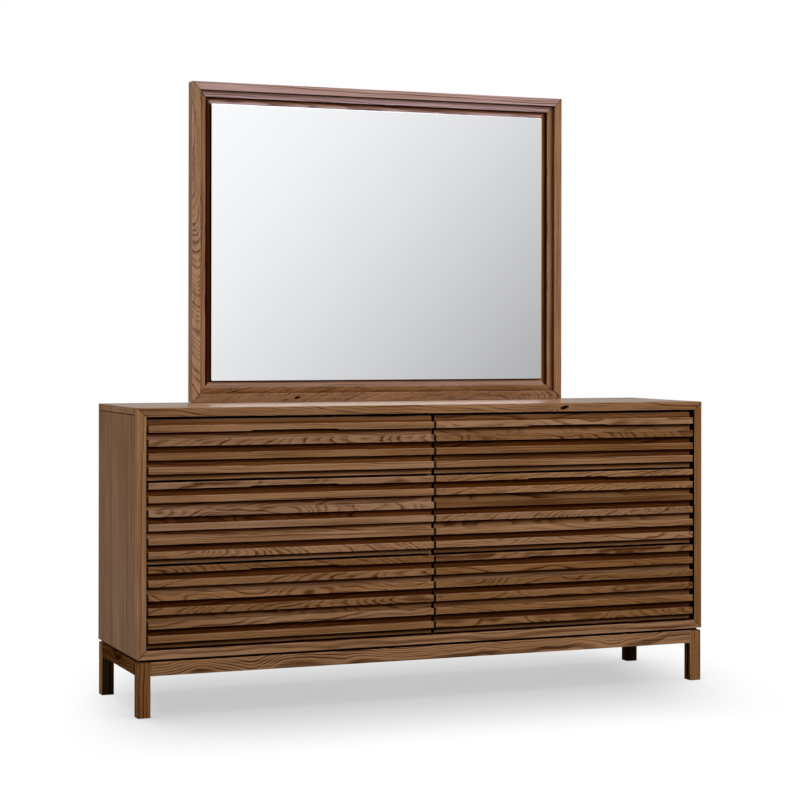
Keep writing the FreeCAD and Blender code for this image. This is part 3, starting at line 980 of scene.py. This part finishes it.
class CHEST_OT_mirror(Operator):
    """The stepped mirror frame, its glass, backing, uprights and screws"""

    bl_idname = "chest.mirror"
    bl_label = "Mirror"

    outer_band: length("Outer band", "Width of the outer band", 0.025)
    middle_band: length("Middle band", "Width of the second band", 0.0195)
    channel_band: length("Channel", "Width of the sunk channel", 0.020)
    seat_band: length("Seat", "Reach behind the glass", 0.016)
    corner: length("Glass corner", "Corner radius of the glass", 0.004)
    bevel: length("Glass arris", "Polished arris of the glass", 0.0006)

    # Boards of the top, right, bottom and left member, outer band first: cut, lightness and span of warmth
    # The top member's boards are lighter and the bottom member's outer bands darker, as painted light falling
    # from above
    boards = (
        (("rift", 1.7, -0.8, -0.6), ("rift", 2.6, -0.9, -0.7), ("rift", 2.6, -0.9, -0.7)),
        (("rift", -0.1, 0.0, 0.1), ("flat", -0.3, 0.0, 0.1), ("flat", -0.5, 0.0, 0.2)),
        (("wild", -1.5, -0.2, 0.0), ("wild", -1.3, 0.0, 0.2), ("rift", 0.9, -0.3, -0.1)),
        (("wild", 0.3, 0.0, 0.1), ("flat", -0.7, -0.1, 0.1), ("flat", -0.4, 0.1, 0.3)),
    )

    # The knot in the bottom member's outer band: place along and across, and size
    knot = (-0.285, -0.012, 0.007)

    # How much shade is painted in the corners between their bands; a fourth number paints the left member's
    # channel dark all over, as shade
    painted_shades = ((0.25, 0.75, 0.0), (0.45, 0.8, 0.25), (0.25, 0.0, 0.85), (0.3, 0.8, 0.0, 0.58))

    # How much the backing's edges are eased
    backing_edge = 0.0006

    def glass(self, piece, low, high):
        """A silvered sheet with rounded corners and a polished arris."""
        part = box_part(low, high)
        corners = [edge for edge in part.edges if runs_along(edge, Y)]
        soften(part, corners, self.corner, 4)
        for face in part.faces:
            face.material_index = int(face.normal.y > -FACING)
        soften(part, sharp_edges(part), self.bevel)
        piece.gather(part)

    def execute(self, context):
        fade = context.scene.chest_sizes.fade
        colours = context.scene.chest_colours
        draw = draws(6)
        low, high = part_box("mirror_rail_top")
        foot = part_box("mirror_rail_bottom")[0]
        glass_low, glass_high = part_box("mirror_glass")
        backing_low, backing_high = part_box("mirror_backing")
        thickness = high.y - low.y
        step = glass_low.y - low.y
        sunk = backing_high.y - low.y
        second = self.outer_band + self.middle_band
        third = second + self.channel_band
        reach = third + self.seat_band
        section = [(0, 0), (self.outer_band, 0), (self.outer_band, step), (second, step)]
        section += [(second, sunk), (reach, sunk), (reach, thickness), (0, thickness)]
        names = ("mirror_rail_top", "mirror_stile_right", "mirror_rail_bottom", "mirror_stile_left")
        bands = []
        for band in zip(*self.boards):
            bands.append([])
            for (cut, light, cool, warm), along in zip(band, (X, Z, X, Z)):
                bands[-1].append(Grain(draw, cut, along, -Y, (light, 0.1), (cool, warm)))
        bands[0][2].knot = self.knot
        # Shade is painted into the corners of both steps and along the glass's edge
        corners = ((self.outer_band, step, fade), (second, sunk, fade), (third, sunk, -fade))
        grains = list(zip(*bands))
        frame_members(names, Vector((low.x, low.y, foot.z)), high, section, grains, corners, self.painted_shades)
        piece = Piece("mirror_glass")
        self.glass(piece, glass_low, glass_high)
        face = shared("silvering", silvered_glass, colours.silver)
        edge = shared("glass_edge", glass_edge, colours.edge_dark, colours.edge_light)
        piece.finish("carcass", "mirror_silver", face, edge)
        piece = Piece("mirror_backing")
        staves = [Grain(draw, "flat", X, -Y, (-0.8, 0.1)) for stave in range(3)]
        # The backing's rim is painted dark as shade
        glued_panel(piece, backing_low, backing_high, Z, staves, self.backing_edge, painted_shade_rim=True)
        piece.finish("carcass", "backing_board", ash())
        for place in COLUMNS:
            finish_node("mirror_support_" + place, hidden_ash("ash_inside_upright", "Z"))
        finish_node("mirror_screws", zinc_steel())
        return {"FINISHED"}


class CHEST_OT_stage(Operator):
    """Camera, lamps, floor and surroundings"""

    bl_idname = "chest.stage"
    bl_label = "Stage"

    # Camera: place, turn about the upright, roll, and rise of the picture
    place = (-2.4002, -5.8589, 1.0694)
    heading = -0.38624034
    roll = 0.0015489
    rise = -0.0808

    # Lamps: place, the point that they face, and the length of their sides
    lamps = {
        "key": ((0.7, -4.1, 3.0), (0.0, 0.0, 0.9), 2.9),
        "top": ((0.0, -0.8, 4.2), (0.0, 0.0, 0.0), 3.0),
        "fill": ((-4.6, 1.0, 2.4), (0.0, 0.0, 0.8), 2.0),
    }

    # The floor: its radius, how far the base's shadow reaches out, and how much light it sends back up
    floor_radius = 9.0
    shadow_reach = 0.64
    bounce = 0.17

    # Where the painted shadow gives out under the case's right and left end, in metres from its middle
    right_end = (0.65, 1.2)
    left_end = (0.75, 1.08)

    def lamp(self, name, place, aim, side, power):
        light = bpy.data.lights.new(name, "AREA")
        light.shape = "SQUARE"
        light.size = side
        light.energy = power
        lamp = bpy.data.objects.new(name, light)
        lamp.location = place
        lamp.rotation_euler = (Vector(aim) - Vector(place)).to_track_quat("-Z", "Y").to_euler()
        # The glass doesn't show the large lamp
        lamp.visible_glossy = name != "key"
        bpy.context.scene.collection.objects.link(lamp)

    def rays(self, tree):
        """Whether light comes by way of a reflection, and whether its source is to be seen at all."""
        path = tree.nodes.new("ShaderNodeLightPath").outputs
        camera = Wire(tree, path["Is Camera Ray"])
        glossy = Wire(tree, path["Is Glossy Ray"])
        through = Wire(tree, path["Is Transmission Ray"])
        return glossy, camera.maximum(glossy).maximum(through)

    def surroundings(self, ambient):
        """A plain world: white where it is seen, greyer towards the front right, and dimmer as a light."""
        world = bpy.data.worlds.new("studio")
        bpy.context.scene.world = world
        tree = Tree(world)
        glossy, seen = self.rays(tree)
        x, y, z = tree.split(tree.node("TexCoord", {}, {}, "Generated"))
        grey = ((x - z * 0.8).step(0.17, 0.62) * (0 - y).step(0.0, 0.5)).maximum(y.step(0.0, 0.3) * 0.8)
        shown = tree.mix(glossy * grey, (1, 1, 1), (0.2, 0.2, 0.2))
        tint = tree.mix(seen, (ambient, ambient, ambient), shown)
        overhead = glossy * (z.step(0.2, 0.6) * (0 - y).step(0.0, 0.3))
        background = tree.node("Background", {}, {"Color": tint, "Strength": overhead * 4 + 1})
        tree.node("OutputWorld", {}, {"Surface": background})

    def floor(self, shadow):
        """A pale floor that keeps the shadow as painted shade in its glow, darkened by ambient occlusion and
        cut off at both ends, and runs out into the white round it.
        """
        part = bmesh.new()
        bmesh.ops.create_circle(part, cap_ends=True, segments=96, radius=self.floor_radius)
        mesh = bpy.data.meshes.new("floor")
        part.to_mesh(mesh)
        part.free()
        made = bpy.data.objects.new("floor", mesh)
        bpy.context.scene.collection.objects.link(made)
        tree = Tree(bpy.data.materials.new("floor"))
        seen = self.rays(tree)[1]
        reach = {"Distance": self.shadow_reach}
        clear = tree.node("AmbientOcclusion", {"samples": 16}, reach, "AO")
        x, y = tree.split(tree.node("TexCoord", {}, {}, "Object"))[:2]
        along = x - y * 0.25
        ends = along.step(*self.right_end).maximum((0 - along).step(*self.left_end))
        # The shadow is painted shade: the glow darkens with the occlusion under the chest and gives out at
        # both ends
        dark = (1 - clear ** 2.8) * (1 - ends)
        matt = tree.node("BsdfDiffuse", {}, {"Color": colour((self.bounce,) * 3)})
        shown = tree.mix(dark, (1, 1, 1), shadow)
        white = tree.node("Emission", {}, {"Color": shown, "Strength": 1.0})
        blend = tree.node("MixShader", {}, {0: seen, 1: matt, 2: white})
        tree.node("OutputMaterial", {}, {"Surface": blend})
        mesh.materials.append(tree.owner)

    def execute(self, context):
        stage = context.scene.chest_stage
        lens = bpy.data.cameras.new("camera")
        lens.sensor_width = 36.0
        lens.lens = stage.lens
        lens.shift_y = self.rise
        camera = bpy.data.objects.new("camera", lens)
        turn = Matrix.Rotation(self.heading, 4, "Z") @ Matrix.Rotation(math.pi / 2, 4, "X")
        camera.matrix_world = Matrix.Translation(self.place) @ turn @ Matrix.Rotation(self.roll, 4, "Z")
        context.scene.collection.objects.link(camera)
        context.scene.camera = camera
        for name, (place, aim, side) in self.lamps.items():
            self.lamp(name, place, aim, side, getattr(stage, name))
        self.surroundings(stage.ambient)
        self.floor(context.scene.chest_colours.shadow)
        context.scene.view_settings.view_transform = "Standard"
        return {"FINISHED"}


class CHEST_PT_sidebar(Panel):
    """Lists the pieces in the sidebar"""

    bl_idname = "CHEST_PT_sidebar"
    bl_label = "Chest of drawers"
    bl_space_type = "VIEW_3D"
    bl_region_type = "UI"
    bl_category = "Chest"

    def draw(self, context):
        for group in GROUPS:
            settings = getattr(context.scene, group)
            column = self.layout.column()
            for name in settings.__annotations__:
                column.prop(settings, name)
        for operator in OPERATORS:
            self.layout.operator(operator.bl_idname)


OPERATORS = (
    CHEST_OT_stage,
    CHEST_OT_base,
    CHEST_OT_case_frame,
    CHEST_OT_case_panels,
    CHEST_OT_drawer_fronts,
    CHEST_OT_drawer_boxes,
    CHEST_OT_mirror,
)
GROUPS = {"chest_sizes": ChestSizes, "chest_colours": ChestColours, "chest_stage": ChestStage}
CLASSES = (*GROUPS.values(), *OPERATORS, CHEST_PT_sidebar)


def register():
    for made in CLASSES:
        bpy.utils.register_class(made)
    for name, group in GROUPS.items():
        setattr(bpy.types.Scene, name, PointerProperty(type=group))


def unregister():
    for name in GROUPS:
        delattr(bpy.types.Scene, name)
    for made in reversed(CLASSES):
        bpy.utils.unregister_class(made)


def main():
    register()
    for operator in OPERATORS:
        getattr(bpy.ops.chest, operator.bl_idname.split(".")[1])()


if __name__ == "__main__":
    main()
